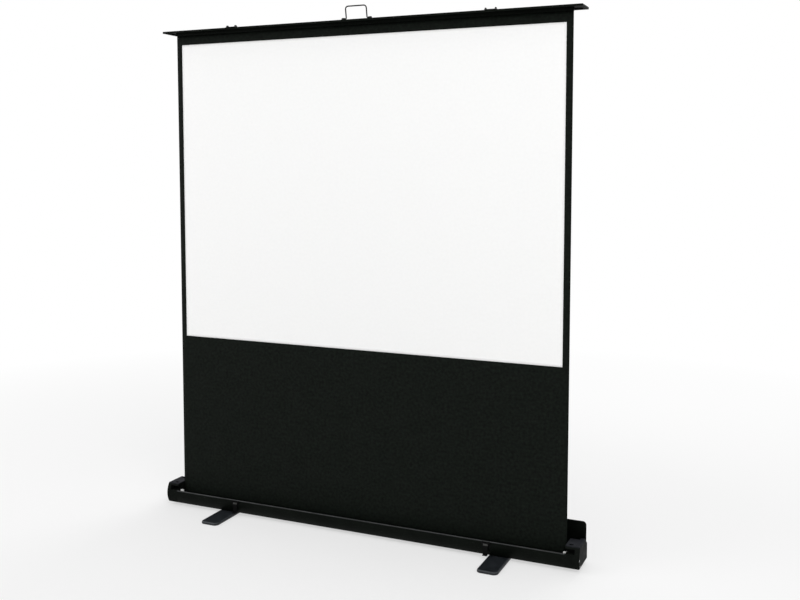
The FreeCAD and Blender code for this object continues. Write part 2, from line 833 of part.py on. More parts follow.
def make_lid():
    """Lid bar: a shallow channel open underneath, closed by two moulded caps."""
    bar = new_body("lid_bar")
    pad(bar, "YZ", "-channel_half", "2 * channel_half", lid_outline())
    hollow = rectangle("-lid_front + lid_wall", "lid_under - overrun", "lid_back - lid_wall", "lid_seat")
    cut(bar, "YZ", "-channel_half - overrun", "2 * (channel_half + overrun)", hollow)
    for name, side in SIDES.items():
        cap = new_body(f"lid_cap_{name}")
        pad(cap, "YZ", span(side, "channel_half", "lid_half"), "lid_cap", lid_outline())
        outer_face = f"{side} * lid_half"
        soften(cap, "lid_cap_edge", lambda edge, level=outer_face: at_level(edge, "X", level))


def make_hem():
    """Slotted hem channel under the lid and the rod that the fabric's top edge is wrapped round."""
    channel = new_body("hem_channel")
    front = "hem_middle - hem_width / 2"
    back = "hem_middle + hem_width / 2"
    slot_front = "hem_middle - hem_mouth / 2"
    slot_back = "hem_middle + hem_mouth / 2"
    outline = [
        (slot_back, "hem_bottom"),
        (back, "hem_bottom"),
        (back, "lid_seat"),
        (front, "lid_seat"),
        (front, "hem_bottom"),
        (slot_front, "hem_bottom"),
        (slot_front, "hem_bottom + hem_wall"),
        (f"{front} + hem_wall", "hem_bottom + hem_wall"),
        (f"{front} + hem_wall", "lid_seat - hem_wall"),
        (f"{back} - hem_wall", "lid_seat - hem_wall"),
        (f"{back} - hem_wall", "hem_bottom + hem_wall"),
        (slot_back, "hem_bottom + hem_wall"),
    ]
    pad(channel, "YZ", "-fabric_half", "2 * fabric_half", outline)
    rod = new_body("hem_rod")
    middle = [("hem_middle", "hem_rod_height", "hem_rod_radius")]
    pad(rod, "YZ", "-fabric_half", "2 * fabric_half", circles=middle)


def make_fabric():
    """Black fabric from the roller to the hem, and the white viewing coat on its face."""
    cloth = doc.addObject("Part::Box", "screen_fabric")
    bind(cloth, "Length", "2 * fabric_half")
    bind(cloth, "Width", "fabric_thickness")
    bind(cloth, "Height", "fabric_top - roller_height")
    place(cloth, "-fabric_half", "fabric_front", "roller_height")
    coat = doc.addObject("Part::Box", "viewing_surface")
    bind(coat, "Length", "view_width")
    bind(coat, "Width", "coat_thickness")
    bind(coat, "Height", "view_height")
    place(coat, "-view_width / 2", "coat_front", "view_bottom")


def make_latch(name, side):
    """Latch on the front wall: a saddle with two ears, and a hook hanging from their pin in two knuckles."""
    x = f"{side} * latch_half"
    half = "latch_width / 2"
    base = new_body(f"latch_base_{name}")
    plate = [
        (front_at("latch_plate_bottom"), "latch_plate_bottom", "-front_radius"),
        (front_at("latch_plate_top"), "latch_plate_top"),
        ("latch_plate_front", "latch_plate_top"),
        ("latch_plate_front", "latch_plate_bottom"),
    ]
    pad(base, "YZ", f"-{half}", "latch_width", plate)
    radius = "latch_ear_radius"
    ear = [
        ("latch_plate_front", f"latch_axis + {radius}"),
        ("latch_axis_front", f"latch_axis + {radius}", radius),
        (f"latch_axis_front - {radius}", "latch_axis", radius),
        ("latch_axis_front", f"latch_axis - {radius}"),
        ("latch_plate_front", f"latch_axis - {radius}"),
        ("latch_plate_front + latch_plate", f"latch_plate_top - {radius}"),
        ("latch_plate_front + latch_plate", "latch_plate_top"),
        ("latch_plate_front", "latch_plate_top"),
    ]
    hole = [("latch_axis_front", "latch_axis", "latch_pin_radius")]
    for start in (f"-{half}", f"{half} - latch_ear"):
        pad(base, "YZ", start, "latch_ear", ear, circles=hole)
    place(base, x)
    hook = new_body(f"latch_hook_{name}")
    bore = ("latch_axis_front", "latch_axis", "latch_pin_radius + pin_gap")
    ring = [("latch_axis_front", "latch_axis", "knuckle_radius"), bore]
    for start in ("-hook_width / 2", "hook_width / 2 - knuckle_width"):
        pad(hook, "YZ", start, "knuckle_width", circles=ring)
    inner = "latch_axis_front + hook_wall / 2"
    outer = "latch_axis_front - hook_wall / 2"
    tip = "latch_axis - hook_reach"
    root = "latch_axis - (knuckle_radius + latch_pin_radius) / 2"
    blade = [
        (inner, root),
        (outer, root),
        (outer, f"{tip} + hook_wall"),
        ("latch_axis_front - hook_lip", f"{tip} + hook_wall"),
        ("latch_axis_front - hook_lip", tip),
        (inner, tip),
    ]
    pad(hook, "YZ", "-hook_width / 2", "hook_width", blade)
    place(hook, x)


def make_latch_pins():
    """Hinge pins of the two latches, as one group."""
    pins = []
    for name, side in SIDES.items():
        body = new_body(f"latch_pin_{name}")
        start = f"{side} * latch_half - latch_width / 2"
        section = ("latch_axis_front", "latch_axis", "latch_pin_radius")
        pad(body, "YZ", start, "latch_width", circles=[section])
        pins.append(body)
    group = doc.addObject("Part::Compound", "latch_pins")
    group.Label = "latch_pins"
    group.Links = pins
    return pins


def make_catch(name, side):
    """Catch plate on the lid's front edge, with an upstanding ear each side of the hook."""
    body = new_body(f"catch_{name}")
    half = "catch_width / 2"
    back = "catch_front + catch_depth"
    pad(body, "XY", "lid_top", "catch_wall", rectangle(f"-{half}", "catch_front", half, back))
    top = "lid_top + catch_ear_height"
    ear = [
        ("-lid_front", "lid_top + catch_wall"),
        (back, "lid_top + catch_wall"),
        (f"{back} - catch_depth / 3", top),
        ("-lid_front + catch_depth / 6", top),
    ]
    for start in (f"-{half}", f"{half} - catch_ear"):
        pad(body, "YZ", start, "catch_ear", ear)
    place(body, f"{side} * latch_half")


def make_saddle(name, side):
    """Saddle on the lid that holds one end of the carrying handle."""
    body = new_body(f"handle_saddle_{name}")
    radius = "saddle_radius"
    middle = "-bail_front"
    outline = [
        (f"{middle} - {radius}", "lid_top"),
        (f"{middle} + {radius}", "lid_top"),
        (f"{middle} + {radius}", "bail_axis", radius),
        (middle, f"bail_axis + {radius}", radius),
        (f"{middle} - {radius}", "bail_axis"),
    ]
    hole = (middle, "bail_axis", "wire_radius + pin_gap")
    stretch = span(side, "saddle_start", "saddle_start + saddle_length")
    pad(body, "YZ", stretch, "saddle_length", outline, circles=[hole])


def make_handle():
    """Bent wire carrying handle, leaning a little forward, with its ends turned out into the saddles."""
    body = new_body("carry_handle")
    low = "bail_foot_corner"
    high = "bail_corner"
    path = sketch_on(body, "XZ")
    draw(path, [
        ("-bail_half - bail_tail", "0"),
        (f"-bail_half - {low}", "0", low),
        ("-bail_half", low),
        ("-bail_half", f"bail_height - {high}", f"-{high}"),
        (f"-bail_half + {high}", "bail_height"),
        (f"bail_half - {high}", "bail_height", f"-{high}"),
        ("bail_half", f"bail_height - {high}"),
        ("bail_half", low, low),
        (f"bail_half + {low}", "0"),
        ("bail_half + bail_tail", "0"),
    ], closed=False)
    section = sketch_on(body, "YZ", "-bail_half - bail_tail")
    draw_circle(section, "0", "0", "wire_radius")
    feature = body.newObject("PartDesign::AdditivePipe", "bent_wire")
    feature.Profile = section
    feature.Spine = (path, [f"Edge{index + 1}" for index in range(path.GeometryCount)])
    body.Tip = feature
    lean(body, Vector(1, 0, 0), "bail_lean")
    place(body, "0", "-bail_front", "bail_axis")


def make_foot(name, side):
    """Swivel foot with soft upper edges, its two rubber pads, its washer and its pivot bolt."""
    x = f"{side} * foot_half"
    half_width = "foot_width / 2"
    half_length = "foot_length / 2"
    top = "pad_height + foot_height"
    foot = new_body(f"foot_{name}")
    outline = rounded_rectangle(f"-{half_width}", f"-{half_length}", half_width, half_length, "foot_corner")
    pad(foot, "XY", "pad_height", "foot_height", outline)
    soften(foot, "foot_edge", lambda edge: at_level(edge, "Z", top))
    through = [("0", "0", "bolt_radius + pin_gap")]
    cut(foot, "XY", "pad_height - overrun", "foot_height + 2 * overrun", circles=through)
    recess = [("0", "0", "bolt_recess_radius")]
    cut(foot, "XY", "pad_height - overrun", "bolt_head_height + overrun", circles=recess)
    place(foot, x)
    pads = new_body(f"foot_pads_{name}")
    pad_half = "foot_width / 2 - pad_inset"
    far = "foot_length / 2 - pad_inset"
    near = f"{far} - pad_length"
    corner = "foot_corner - pad_inset"
    rubbers = [
        rounded_rectangle(f"-({pad_half})", near, pad_half, far, corner),
        rounded_rectangle(f"-({pad_half})", f"-({far})", pad_half, f"-({near})", corner),
    ]
    pad(pads, "XY", "0", "pad_height", *rubbers)
    place(pads, x)
    washer = new_body(f"foot_washer_{name}")
    ring = [("0", "0", "washer_radius"), ("0", "0", "bolt_radius + pin_gap")]
    pad(washer, "XY", top, "washer_height", circles=ring)
    place(washer, x)
    bolt = new_body(f"foot_bolt_{name}")
    head_top = "pad_height + bolt_head_height - face_gap"
    turn(bolt, "Z", [
        ("bolt_head_radius", "bolt_head_radius", "pad_height", head_top),
        ("bolt_radius", "bolt_radius", head_top, "floor_top"),
        ("bolt_head_radius", "bolt_head_radius", "floor_top", "floor_top + nut_height"),
    ])
    place(bolt, x)


def make_all():
    """Make every piece, and give those that only exist inside a group."""
    make_trough()
    make_rear_panel()
    make_roller()
    make_spindles()
    make_fabric()
    grouped = make_end_cap_screws() + make_latch_pins()
    for name, side in SIDES.items():
        make_end_cap(name, side)
        make_guide_button(name, side)
        make_latch(name, side)
        make_catch(name, side)
        make_saddle(name, side)
        make_foot(name, side)
    for label, (left_end, slant, layer) in ARMS.items():
        make_arm(label, left_end, slant, layer)
    make_rivets()
    make_brackets()
    make_fixed_pivot("base_pivot_pin", "bracket_front", "layer_one", "base_pivot")
    make_fixed_pivot("top_pivot_pin", "top_bracket_front", "layer_two", "top_pivot")
    make_rails()
    make_slider("base_slider", "base_rail_front", -1, "layer_two", "base_pivot")
    make_slider("top_slider", "top_rail_back - rail_depth", 1, "layer_one", "top_pivot")
    make_lid()
    make_hem()
    make_handle()
    return grouped


def check_document():
    """Stop if any object failed, or if a cut took nothing away."""
    failed = [
        (item.Label, [owner.Label for owner in item.InList])
        for item in doc.Objects
        if {"Invalid", "Error"} & set(item.State)
    ]
    if failed:
        raise RuntimeError(f"failed objects: {failed}")
    for item in doc.Objects:
        if item.TypeId == "PartDesign::Pocket" and item.Shape.Volume >= item.BaseFeature.Shape.Volume:
            raise RuntimeError(f"{item.Label} cuts nothing")


def write_pieces(grouped):
    """Check each piece's solid and write it to its own file."""
    os.makedirs("parts", exist_ok=True)
    kinds = ("PartDesign::Body", "Part::Box", "Part::Compound")
    pieces = [item for item in doc.Objects if item.TypeId in kinds and item not in grouped]
    for piece in pieces:
        if piece.Shape.isNull() or not piece.Shape.isValid():
            raise RuntimeError(f"{piece.Label} has no valid solid")
    for piece in pieces:
        piece.Shape.exportStep(f"parts/{piece.Label}.step")
    print(len(pieces), "pieces written")


inner_pieces = make_all()
doc.recompute()
check_document()
write_pieces(inner_pieces)
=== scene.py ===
"""Finish a pull-up projection screen: cloth, coating, metals, mouldings, light and camera.

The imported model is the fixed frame. Every piece made here is in metres in that frame, sits at the
origin with its place in its mesh, and moves with one of the frame's bodies.
"""

from __future__ import annotations

import json
import logging
import math
from abc import ABC, abstractmethod
from collections.abc import Sequence
from dataclasses import dataclass, replace
from enum import Enum

import bpy
import numpy as np
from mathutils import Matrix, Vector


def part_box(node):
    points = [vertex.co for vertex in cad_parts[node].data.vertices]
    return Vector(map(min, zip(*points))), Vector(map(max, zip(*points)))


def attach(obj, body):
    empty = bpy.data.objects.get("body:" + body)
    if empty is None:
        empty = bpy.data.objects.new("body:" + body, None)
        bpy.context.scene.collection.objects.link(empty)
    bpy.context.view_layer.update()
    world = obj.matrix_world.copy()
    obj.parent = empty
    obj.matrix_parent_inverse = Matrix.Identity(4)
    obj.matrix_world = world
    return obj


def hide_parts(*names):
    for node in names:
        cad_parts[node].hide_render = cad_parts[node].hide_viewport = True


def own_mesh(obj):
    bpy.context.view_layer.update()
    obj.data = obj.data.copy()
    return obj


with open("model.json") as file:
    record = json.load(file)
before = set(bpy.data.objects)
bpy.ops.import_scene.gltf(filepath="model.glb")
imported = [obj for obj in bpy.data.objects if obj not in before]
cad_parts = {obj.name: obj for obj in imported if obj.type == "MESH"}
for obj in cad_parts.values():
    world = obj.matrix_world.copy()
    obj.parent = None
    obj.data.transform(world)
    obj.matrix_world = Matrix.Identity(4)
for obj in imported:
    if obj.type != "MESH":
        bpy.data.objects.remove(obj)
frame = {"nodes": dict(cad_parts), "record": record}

Triple = tuple[float, float, float]
Pair = tuple[float, float]
Output = bpy.types.NodeSocket

LOG = logging.getLogger("projection_screen")
MILLIMETRE = 0.001
# Most of a noise lies in this range, and one wave of a wave texture is a full turn over the steps.
NOISE_RANGE = (0.3, 0.7)
WAVE_STEPS = 20.0
EVEN = (1.0, 1.0, 1.0)
WHITE = (1.0, 1.0, 1.0, 1.0)


class Slot(Enum):
    """The record's material slots."""

    CASE_METAL = "black_aluminium"
    CAP_PLASTIC = "cap_plastic"
    FOOT_PLASTIC = "foot_plastic"
    RUBBER = "rubber"
    WHITE_NYLON = "white_nylon"
    GREY_NYLON = "grey_nylon"
    RAW_METAL = "raw_aluminium"
    PLATED_STEEL = "zinc_steel"
    COATED_STEEL = "black_steel"
    BLACK_CLOTH = "black_fabric"
    WHITE_COAT = "white_fabric"


class Place(Enum):
    """Which coordinates a pattern is read in."""

    OBJECT = "Object"
    SURFACE = "UV"


class Body(Enum):
    """The frame's bodies that pieces made here move with."""

    CASE = "case"
    ROLLER = "roller"
    LID = "lid"


class Edge(Enum):
    """Which corner of a node's box a height is measured from."""

    LOW = 0
    HIGH = 1


class Mix(Enum):
    """Where a colour mix keeps its sockets."""

    FACTOR = 0
    FIRST = 6
    SECOND = 7
    RESULT = 2


@dataclass(frozen=True)
class Cloud:
    """A cloudy pattern: its patches' width in metres, its fineness, and its stretch along each axis."""

    patch: float
    detail: float
    stretch: Triple = EVEN
    place: Place = Place.OBJECT


@dataclass(frozen=True)
class Spread:
    """What a pattern does to a value where it is weak and where it is strong."""

    low: float
    high: float


@dataclass(frozen=True)
class Relief:
    """How deep a pattern is pressed into a surface, in metres, and how strongly."""

    depth: float
    strength: float


# This pattern breaks up the painted bands of highlight and light along X.
BAND_BREAKUP = Cloud(6.0 * MILLIMETRE, 6.0, (0.15, 1.0, 1.0))
BAND_BREAKUP_RANGE = (0.25, 0.6)
BAND_BREAKUP_SPREAD = Spread(0.45, 1.0)


class Tree:
    """Builder for a node tree."""

    def __init__(self, tree: bpy.types.NodeTree) -> None:
        """Take hold of an empty or default tree."""
        self.nodes = tree.nodes
        self.links = tree.links

    def fill(self, node: bpy.types.Node, inputs: dict[str | int, object]) -> bpy.types.Node:
        """Set a node's inputs.

        Args:
            node: the node.
            inputs: a value or another node's output for each input, by name or place.

        Returns:
            The same node.
        """
        for name, value in inputs.items():
            if isinstance(value, Output):
                self.links.new(value, node.inputs[name])
            else:
                node.inputs[name].default_value = value
        return node

    def add(self, kind: str, inputs: dict[str | int, object]) -> bpy.types.Node:
        """Add a node of a kind and set its inputs."""
        return self.fill(self.nodes.new(kind), inputs)

    def combine(self, operation: str, first: object, second: object) -> Output:
        """Work a sum on two numbers or outputs.

        Args:
            operation: the kind of sum.
            first: a number or an output.
            second: a number or an output.

        Returns:
            The sum's result.
        """
        node = self.add("ShaderNodeMath", {0: first, 1: second})
        node.operation = operation
        return node.outputs[0]

    def ramp(self, factor: Output, start: float, stop: float, low: float = 0.0, high: float = 1.0) -> Output:
        """Map a factor between start and stop to a value between low and high."""
        inputs = {"Value": factor, "From Min": start, "From Max": stop, "To Min": low, "To Max": high}
        return self.add("ShaderNodeMapRange", inputs).outputs["Result"]

    def background_rays(self) -> Output:
        """Mark the rays that show the background: straight to the camera, in gloss or through glass.

        Returns:
            One for such a ray and zero for others.
        """
        path = self.nodes.new("ShaderNodeLightPath").outputs
        shiny = self.combine("MAXIMUM", path["Is Glossy Ray"], path["Is Transmission Ray"])
        return self.combine("MAXIMUM", path["Is Camera Ray"], shiny)


class Shader(Tree):
    """Builder for one material's node tree round a Principled shader."""

    def __init__(
        self, name: str, colour: Triple, roughness: float, specular: float, metallic: float = 0.0
    ) -> None:
        """Start a material with its plain values on the shader's own sockets.

        Args:
            name: the material's name.
            colour: the plain colour.
            roughness: the plain roughness.
            specular: the strength of the sheen.
            metallic: how far the surface is bare metal.
        """
        self.material = bpy.data.materials.new(name)
        self.material.use_nodes = True
        super().__init__(self.material.node_tree)
        self.shader = self.nodes["Principled BSDF"]
        self.fill(self.shader, {
            "Base Color": (*colour, 1.0),
            "Roughness": roughness,
            "Specular IOR Level": specular,
            "Metallic": metallic,
        })

    def position(self, place: Place, stretch: Triple = EVEN) -> Output:
        """Give coordinates in metres, stretched by a factor along each axis."""
        source = self.nodes.new("ShaderNodeTexCoord").outputs[place.value]
        return self.add("ShaderNodeMapping", {"Vector": source, "Scale": stretch}).outputs["Vector"]

    def height(self) -> Output:
        """Give the height of a place on the piece, in metres."""
        return self.add("ShaderNodeSeparateXYZ", {0: self.position(Place.OBJECT)}).outputs["Z"]

    def cloud(self, pattern: Cloud) -> Output:
        """Spread a cloudy pattern over the surface.

        Args:
            pattern: the pattern.

        Returns:
            The pattern's strength at each place.
        """
        where = self.position(pattern.place, pattern.stretch)
        inputs = {"Vector": where, "Scale": 1.0 / pattern.patch, "Detail": pattern.detail}
        return self.add("ShaderNodeTexNoise", inputs).outputs["Fac"]

    def tint(self, factor: Output, dark: Triple, light: Triple) -> Output:
        """Colour the surface between two tones.

        Args:
            factor: the pattern that chooses between the tones.
            dark: the colour where the pattern is weak.
            light: the colour where it is strong.

        Returns:
            The colour that reaches the shader.
        """
        node = self.add("ShaderNodeValToRGB", {"Fac": factor})
        for stop, position, colour in zip(node.color_ramp.elements, NOISE_RANGE, (dark, light)):
            stop.position = position
            stop.color = (*colour, 1.0)
        self.fill(self.shader, {"Base Color": node.outputs["Color"]})
        return node.outputs["Color"]

    def gloss(self, factor: Output, low: float, high: float) -> None:
        """Vary the roughness between two values by a pattern."""
        self.fill(self.shader, {"Roughness": self.ramp(factor, *NOISE_RANGE, low, high)})

    def paint_band(self, colour: Output, lit_colour: Triple, where: Output) -> None:
        """Lay a painted lighter band, broken up along X, over the surface's own colour: painted light.

        Args:
            colour: the surface's own colour.
            lit_colour: the painted light's colour laid over it.
            where: one where the light is painted and zero where it isn't.
        """
        broken = self.ramp(self.cloud(BAND_BREAKUP), *BAND_BREAKUP_RANGE, BAND_BREAKUP_SPREAD.low, BAND_BREAKUP_SPREAD.high)
        mixed = self.nodes.new("ShaderNodeMix")
        mixed.data_type = "RGBA"
        self.fill(mixed, {
            Mix.FACTOR.value: self.combine("MULTIPLY", where, broken),
            Mix.FIRST.value: colour,
            Mix.SECOND.value: (*lit_colour, 1.0),
        })
        self.fill(self.shader, {"Base Color": mixed.outputs[Mix.RESULT.value]})

    def emboss(self, height: Output, relief: Relief) -> None:
        """Press a pattern into the surface, on top of any relief already there.

        Args:
            height: the pattern.
            relief: how deep and how strongly it is pressed in.
        """
        inputs = {"Height": height, "Distance": relief.depth, "Strength": relief.strength}
        node = self.add("ShaderNodeBump", inputs)
        earlier = self.shader.inputs["Normal"].links
        if earlier:
            self.fill(node, {"Normal": earlier[0].from_socket})
        self.fill(self.shader, {"Normal": node.outputs["Normal"]})


@dataclass(frozen=True)
class PaintedBand:
    """A band of painted light, which rises, and may fall, between depths below one edge of a frame's node.
    """

    node: str
    colour: Triple
    rise: Pair
    fall: Pair | None = None
    edge: Edge = Edge.HIGH

    def lay(self, shader: Shader, colour: Output) -> None:
        """Lay the band over a surface.

        Args:
            shader: the surface's shader.
            colour: the surface's own colour.
        """
        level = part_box(self.node)[self.edge.value].z
        height = shader.height()
        where = shader.ramp(height, *(level - depth for depth in self.rise))
        if self.fall:
            ending = shader.ramp(height, *(level - depth for depth in self.fall), 1.0, 0.0)
            where = shader.combine("MULTIPLY", where, ending)
        shader.paint_band(colour, self.colour, where)


@dataclass(frozen=True, kw_only=True)
class Finish(ABC):
    """A named surface finish for one material slot.

    Its tones are factors on its colour, and its shine is what its roughness loses and gains.
    """

    name: str
    slot: Slot
    colour: Triple
    roughness: float
    specular: float
    metallic: float = 0.0
    tones: Spread = Spread(0.8, 1.25)
    shine: Spread = Spread(0.07, 0.07)
    painted_band: PaintedBand | None = None

    @abstractmethod
    def dress(self, shader: Shader) -> Output:
        """Lay the finish's patterns on its shader and give the colour that reaches it."""

    def vary(self, shader: Shader, colouring: Output, dulling: Output) -> Output:
        """Vary the colour and the roughness about their plain values.

        Args:
            shader: the finish's shader.
            colouring: the pattern for the colour.
            dulling: the pattern for the roughness.

        Returns:
            The colour that reaches the shader.
        """
        dark, light = (
            tuple(min(channel * factor, 1.0) for channel in self.colour)
            for factor in (self.tones.low, self.tones.high)
        )
        shader.gloss(dulling, self.roughness - self.shine.low, self.roughness + self.shine.high)
        return shader.tint(colouring, dark, light)

    def build(self) -> bpy.types.Material:
        """Make the material, with its band of painted light if it has one.

        Returns:
            The material.
        """
        shader = Shader(self.name, self.colour, self.roughness, self.specular, self.metallic)
        colour = self.dress(shader)
        if self.painted_band:
            self.painted_band.lay(shader, colour)
        return shader.material


@dataclass(frozen=True, kw_only=True)
class DrawnMetal(Finish):
    """Extruded, anodised metal: fine die lines along X under a cloudy satin skin."""

    metallic: float = 0.3
    tones: Spread = Spread(0.75, 1.3)
    shine: Spread = Spread(0.07, 0.09)
    lines: Cloud = Cloud(0.9 * MILLIMETRE, 4.0, (0.004, 1.0, 1.0))
    clouds: Cloud = Cloud(45.0 * MILLIMETRE, 5.0)
    relief: Relief = Relief(0.04 * MILLIMETRE, 0.35)

    def dress(self, shader: Shader) -> Output:
        """Press the die lines in, dull the skin along them and cloud its colour.

        Args:
            shader: the finish's shader.

        Returns:
            The colour that reaches the shader.
        """
        lines = shader.cloud(self.lines)
        shader.emboss(lines, self.relief)
        return self.vary(shader, shader.cloud(self.clouds), lines)


@dataclass(frozen=True, kw_only=True)
class Moulded(Finish):
    """Moulded plastic with a fine spark-eroded grain and faint handling marks."""

    grain: float = 0.9 * MILLIMETRE
    relief: Relief = Relief(0.12 * MILLIMETRE, 0.45)
    marks: Cloud = Cloud(30.0 * MILLIMETRE, 6.0)

    def dress(self, shader: Shader) -> Output:
        """Use cells for the grain and slow clouds for the handling marks.

        Args:
            shader: the finish's shader.

        Returns:
            The colour that reaches the shader.
        """
        inputs = {"Vector": shader.position(Place.OBJECT), "Scale": 1.0 / self.grain}
        cells = shader.add("ShaderNodeTexVoronoi", inputs)
        shader.emboss(cells.outputs["Distance"], self.relief)
        marks = shader.cloud(self.marks)
        return self.vary(shader, marks, marks)


@dataclass(frozen=True, kw_only=True)
class PowderCoat(Finish):
    """Baked powder coat: slight orange peel over steel, with lighter worn patches."""

    tones: Spread = Spread(0.8, 1.4)
    shine: Spread = Spread(0.08, 0.1)
    peel: Cloud = Cloud(1.6 * MILLIMETRE, 1.5)
    patches: Cloud = Cloud(20.0 * MILLIMETRE, 8.0)
    relief: Relief = Relief(0.1 * MILLIMETRE, 0.3)

    def dress(self, shader: Shader) -> Output:
        """Press the orange peel in and lighten the worn patches.

        Args:
            shader: the finish's shader.

        Returns:
            The colour that reaches the shader.
        """
        shader.emboss(shader.cloud(self.peel), self.relief)
        patches = shader.cloud(self.patches)
        return self.vary(shader, patches, patches)


@dataclass(frozen=True, kw_only=True)
class BrightMetal(Finish):
    """Plated or mill-finish metal with fine brushing and slight dulling."""

    metallic: float = 1.0
    tones: Spread = Spread(0.8, 1.08)
    shine: Spread = Spread(0.08, 0.1)
    brush: Cloud = Cloud(0.4 * MILLIMETRE, 3.0, (0.05, 1.0, 1.0))
    dull: Cloud = Cloud(12.0 * MILLIMETRE, 5.0)
    relief: Relief = Relief(0.02 * MILLIMETRE, 0.3)

    def dress(self, shader: Shader) -> Output:
        """Press the brushing in and cloud the colour for the dulling.

        Args:
            shader: the finish's shader.

        Returns:
            The colour that reaches the shader.
        """
        lines = shader.cloud(self.brush)
        shader.emboss(lines, self.relief)
        return self.vary(shader, shader.cloud(self.dull), lines)


@dataclass(frozen=True, kw_only=True)
class CoatedCloth(Finish):
    """Coated fabric: a fine even weave that shows through the coating, with slow mottling."""

    tones: Spread = Spread(0.3, 1.7)
    shine: Spread = Spread(0.05, 0.05)
    thread: float = 0.9 * MILLIMETRE
    weave: Relief = Relief(0.08 * MILLIMETRE, 0.5)
    swell: Relief = Relief(0.08 * MILLIMETRE, 0.6)
    mottling: Cloud = Cloud(11.0 * MILLIMETRE, 8.0, place=Place.SURFACE)
    dulling: Cloud = Cloud(66.0 * MILLIMETRE, 4.0, place=Place.SURFACE)

    def dress(self, shader: Shader) -> Output:
        """Cross two sets of waves on the cloth's own map for the weave and mottle the coating.

        Args:
            shader: the finish's shader.

        Returns:
            The colour that reaches the shader.
        """
        inputs = {"Vector": shader.position(Place.SURFACE), "Scale": math.tau / WAVE_STEPS / self.thread}
        threads = []
        for direction in ("X", "Y"):
            wave = shader.add("ShaderNodeTexWave", inputs)
            wave.bands_direction = direction
            threads.append(wave.outputs["Fac"])
        shader.emboss(shader.combine("MAXIMUM", *threads), self.weave)
        mottling = shader.cloud(self.mottling)
        shader.emboss(mottling, self.swell)
        return self.vary(shader, mottling, shader.cloud(self.dulling))


BLACK_METAL = DrawnMetal(
    name="black_anodised_metal", slot=Slot.CASE_METAL, colour=(0.003, 0.0042, 0.0031),
    roughness=0.42, specular=0.06,
)
# Painted highlight: the rim bead along the trough's top is lighter, as overhead light catches it.
TROUGH_METAL = replace(
    BLACK_METAL, name="anodised_metal_painted_rim_highlight",
    painted_band=PaintedBand("base_trough", (0.07, 0.072, 0.073), rise=(4.0 * MILLIMETRE, 1.0 * MILLIMETRE)),
)
LID_METAL = DrawnMetal(
    name="matt_anodised_metal", slot=Slot.CASE_METAL, colour=(0.0055, 0.0067, 0.0055),
    roughness=0.5, specular=0.015, metallic=0.0,
)
CAP_PLASTIC = Moulded(
    name="cap_moulding", slot=Slot.CAP_PLASTIC, colour=(0.0058, 0.007, 0.006),
    roughness=0.5, specular=0.015,
)
# Painted light: the end caps' tops are lighter and bluer, as light falls on them from above.
CASE_CAP = replace(
    CAP_PLASTIC, name="cap_moulding_painted_top_light",
    painted_band=PaintedBand("end_cap_left", (0.019, 0.02, 0.024), rise=(5.0 * MILLIMETRE, 1.25 * MILLIMETRE)),
)
# Painted highlight: a lighter band on the bevel just under the feet's top faces.
FOOT_PLASTIC = Moulded(
    name="foot_moulding", slot=Slot.FOOT_PLASTIC, colour=(0.0145, 0.017, 0.02),
    roughness=0.42, specular=0.25, grain=1.2 * MILLIMETRE,
    painted_band=PaintedBand(
        "foot_left", (0.05, 0.055, 0.06),
        rise=(4.2 * MILLIMETRE, 1.8 * MILLIMETRE), fall=(0.4 * MILLIMETRE, 0.1 * MILLIMETRE),
    ),
)
RUBBER = Moulded(
    name="foot_rubber", slot=Slot.RUBBER, colour=(0.008, 0.008, 0.008),
    roughness=0.85, specular=0.2, grain=0.6 * MILLIMETRE,
)
WHITE_NYLON = Moulded(
    name="white_nylon", slot=Slot.WHITE_NYLON, colour=(0.84, 0.84, 0.82),
    roughness=0.35, specular=0.5, grain=2.0 * MILLIMETRE, relief=Relief(0.03 * MILLIMETRE, 0.45),
)
GREY_NYLON = replace(
    WHITE_NYLON, name="grey_nylon", slot=Slot.GREY_NYLON, colour=(0.3, 0.3, 0.31), roughness=0.4
)
RAW_METAL = BrightMetal(
    name="mill_metal", slot=Slot.RAW_METAL, colour=(0.55, 0.55, 0.57), roughness=0.42, specular=0.5
)
PLATED_STEEL = BrightMetal(
    name="plated_steel", slot=Slot.PLATED_STEEL, colour=(0.48, 0.48, 0.49),
    roughness=0.32, specular=0.5, brush=Cloud(0.4 * MILLIMETRE, 3.0, (1.0, 1.0, 0.1)),
)
COATED_STEEL = PowderCoat(
    name="black_powder_coat", slot=Slot.COATED_STEEL, colour=(0.0052, 0.0053, 0.0054),
    roughness=0.45, specular=0.12,
)
# Painted shade: a darker copy of the black powder coat, so that the latches sink into the case wall's tone.
SHADED_LATCH_STEEL = PowderCoat(
    name="matt_black_coat_painted_shade", slot=Slot.COATED_STEEL, colour=(0.003, 0.0031, 0.0031),
    roughness=0.55, specular=0.06,
)
# Painted glint: a light band on the hooks' knuckles round the latch pins, over the darker coat's painted
# shade.
GLINTING_HOOK_STEEL = replace(
    SHADED_LATCH_STEEL, name="black_coat_painted_shade_and_glint",
    painted_band=PaintedBand(
        "latch_pins", (0.075, 0.075, 0.073),
        rise=(9.0 * MILLIMETRE, 7.0 * MILLIMETRE), fall=(0.0, -2.0 * MILLIMETRE), edge=Edge.LOW,
    ),
)
BLACK_CLOTH = CoatedCloth(
    name="black_border_cloth", slot=Slot.BLACK_CLOTH, colour=(0.0032, 0.005, 0.0034),
    roughness=0.72, specular=0.09,
)
WHITE_COAT = CoatedCloth(
    name="white_viewing_coat", slot=Slot.WHITE_COAT, colour=(0.95, 0.95, 0.945),
    roughness=0.7, specular=0.25, tones=Spread(0.988, 1.012), thread=0.7 * MILLIMETRE,
    weave=Relief(0.02 * MILLIMETRE, 0.5), swell=Relief(0.02 * MILLIMETRE, 0.6),
)
